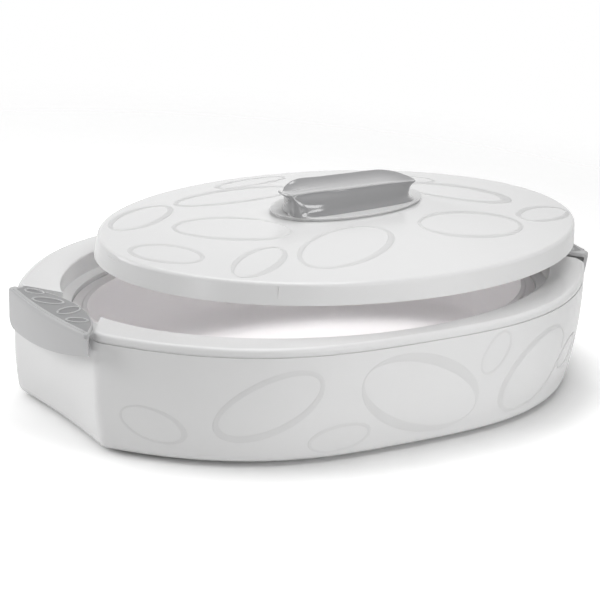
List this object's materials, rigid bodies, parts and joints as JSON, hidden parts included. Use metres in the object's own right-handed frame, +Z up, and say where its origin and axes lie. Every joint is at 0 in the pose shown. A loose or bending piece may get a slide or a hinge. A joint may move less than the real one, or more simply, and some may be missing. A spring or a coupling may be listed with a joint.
{
  "type": "insulated food container",
  "caption": "Low oval insulated serving dish with a double-walled body, inner bowl, wing grips at both ends and a domed lift-off lid with a waisted knob.",
  "frame": {"origin": "on the resting plane, under the middle of the body", "axes": "+Z up, +X along the long axis from one wing grip to the other, -Y towards the pictured side"},
  "size_m": [0.3484, 0.2052, 0.1132],
  "materials": {
    "body_white": "gloss",
    "liner_white": "satin",
    "grip_grey": "satin",
    "plate_grey": "satin",
    "foam": "matte",
    "rubber": "matte",
    "seal": "satin",
    "steel": "satin"
  },
  "bodies": {
    "base": {"outer_shell": "body_white", "rim_collar": "body_white", "inner_liner": "liner_white", "body_insulation": "foam", "base_plate": "body_white", "foot_front_left": "rubber", "foot_front_right": "rubber", "foot_rear_left": "rubber", "foot_rear_right": "rubber", "base_screws": "steel", "left_handle": "grip_grey", "right_handle": "grip_grey", "left_handle_screws": "steel", "right_handle_screws": "steel"},
    "lid_carrier": {"knob_pin": "steel"},
    "lid": {"lid_cover": "body_white", "lid_inner_panel": "body_white", "lid_insulation": "foam", "lid_seal": "seal", "knob_base": "plate_grey", "knob_grip": "grip_grey", "knob_screws": "steel"}
  },
  "joints": [
    {"name": "lid_carry", "type": "hinge", "parent": "base", "child": "lid_carrier", "pos_m": [0.0174, 0, 0.0866], "axis": [0, 1, 0], "range_deg": [-109.36, 0]},
    {"name": "lid_level", "type": "hinge", "parent": "lid_carrier", "child": "lid", "pos_m": [0.0175, 0, 0.105], "axis": [0, 1, 0], "range_deg": [0, 109.36]}
  ],
  "couplings": [
    {"joint": "lid_level", "follows": "lid_carry", "ratio": -1}
  ]
}
